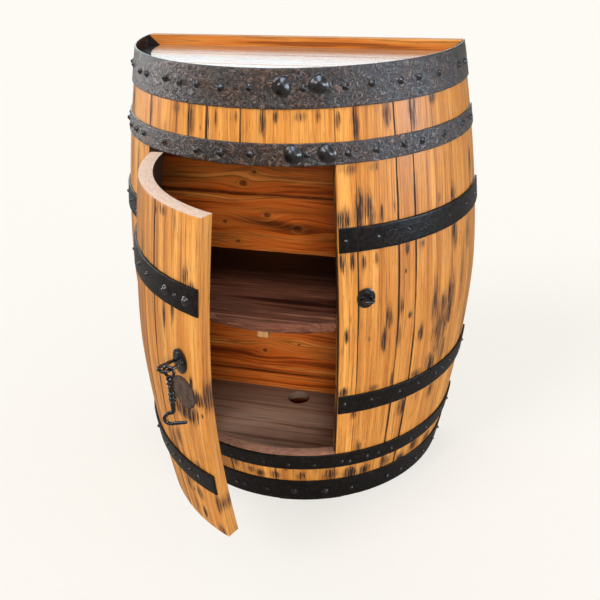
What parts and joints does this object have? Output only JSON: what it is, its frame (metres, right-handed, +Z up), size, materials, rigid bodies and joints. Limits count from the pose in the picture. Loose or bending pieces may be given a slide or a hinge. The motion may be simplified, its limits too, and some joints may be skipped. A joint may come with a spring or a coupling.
{
  "type": "barrel bar cabinet",
  "caption": "Half-barrel bar cabinet with a curved door cut from its staves, an inner shelf, riveted hoops, a flat boarded back and a hook latch.",
  "frame": {"origin": "on the floor, on the axis of the whole cask, midway through the thickness of the back boards", "axes": "+Z up, +Y towards the wall behind the flat back, -Y towards the curved front with the door, +X to the viewer's right"},
  "size_m": [0.742, 0.6339, 0.9],
  "materials": {
    "stave_oak": "varnished honey oak with dark cask stains, satin gloss",
    "top_oak": "varnished head boards, glossy",
    "back_pine": "warm stained pine with knots, satin",
    "rail_pine": "stained pine edge, satin",
    "charred_oak": "toasted, almost black top with a worn pale edge",
    "greyed_oak": "wine-stained grey-brown head boards",
    "fresh_pine": "bare light pine",
    "bung_oak": "dark end-grain plug",
    "hammered_iron": "lacquered hammered black iron",
    "smooth_iron": "lacquered charcoal hoop iron, satin",
    "black_iron": "lacquered black wrought iron"
  },
  "bodies": {
    "cabinet": {"back_board_1": "back_pine", "back_board_2": "back_pine", "back_board_3": "back_pine", "back_board_4": "back_pine", "back_rail": "rail_pine", "bottom_board_1": "greyed_oak", "bottom_board_2": "greyed_oak", "bottom_board_3": "greyed_oak", "catch_staple": "black_iron", "hoop_1_top": "hammered_iron", "hoop_2_upper": "hammered_iron", "hoop_3_left": "smooth_iron", "hoop_3_right": "smooth_iron", "hoop_4_left": "smooth_iron", "hoop_4_right": "smooth_iron", "hoop_5_lower": "smooth_iron", "hoop_6_bottom": "smooth_iron", "lower_hinge_fixed_leaf": "smooth_iron", "lower_hinge_pin": "black_iron", "shelf": "charred_oak", "shelf_bearer": "fresh_pine", "shelf_cleat_left": "back_pine", "shelf_cleat_right": "back_pine", "stave_above_door_1": "stave_oak", "stave_above_door_2": "stave_oak", "stave_above_door_3": "stave_oak", "stave_above_door_4": "stave_oak", "stave_above_door_5": "stave_oak", "stave_below_door_1": "stave_oak", "stave_below_door_2": "stave_oak", "stave_below_door_3": "stave_oak", "stave_below_door_4": "stave_oak", "stave_left_1": "stave_oak", "stave_left_2": "stave_oak", "stave_left_3": "stave_oak", "stave_right_1": "stave_oak", "stave_right_2": "stave_oak", "stave_right_3": "stave_oak", "stave_right_4": "stave_oak", "stave_right_5": "stave_oak", "stave_right_6": "stave_oak", "top_board_1": "top_oak", "top_board_2": "top_oak", "top_board_3": "top_oak", "upper_hinge_fixed_leaf": "smooth_iron", "upper_hinge_pin": "black_iron"},
    "door": {"bung_plug": "bung_oak", "door_staple": "black_iron", "door_stave_1": "stave_oak", "door_stave_2": "stave_oak", "door_stave_3": "stave_oak", "door_stave_4": "stave_oak", "door_stave_5": "stave_oak", "hoop_3_door": "smooth_iron", "hoop_4_door": "smooth_iron", "lower_hinge_door_leaf": "smooth_iron", "upper_hinge_door_leaf": "smooth_iron"},
    "hook_ring": {"hook_eye": "black_iron"},
    "hook": {"latch_hook": "black_iron"}
  },
  "joints": [
    {"name": "door_hinge", "type": "hinge", "parent": "cabinet", "child": "door", "pos_m": [-0.24073, -0.29411, 0.45], "axis": [0, 0, -1], "range_deg": [-46.9, 123.1]},
    {"name": "hook_swing", "type": "hinge", "parent": "door", "child": "hook_ring", "pos_m": [-0.05909, -0.61525, 0.502], "axis": [0.2064, 0.9785, 0], "range_deg": [-90, 60]},
    {"name": "hook_twist", "type": "hinge", "parent": "hook_ring", "child": "hook", "pos_m": [-0.05909, -0.61525, 0.502], "axis": [0, 0, -1], "range_deg": [-146, 34]}
  ]
}
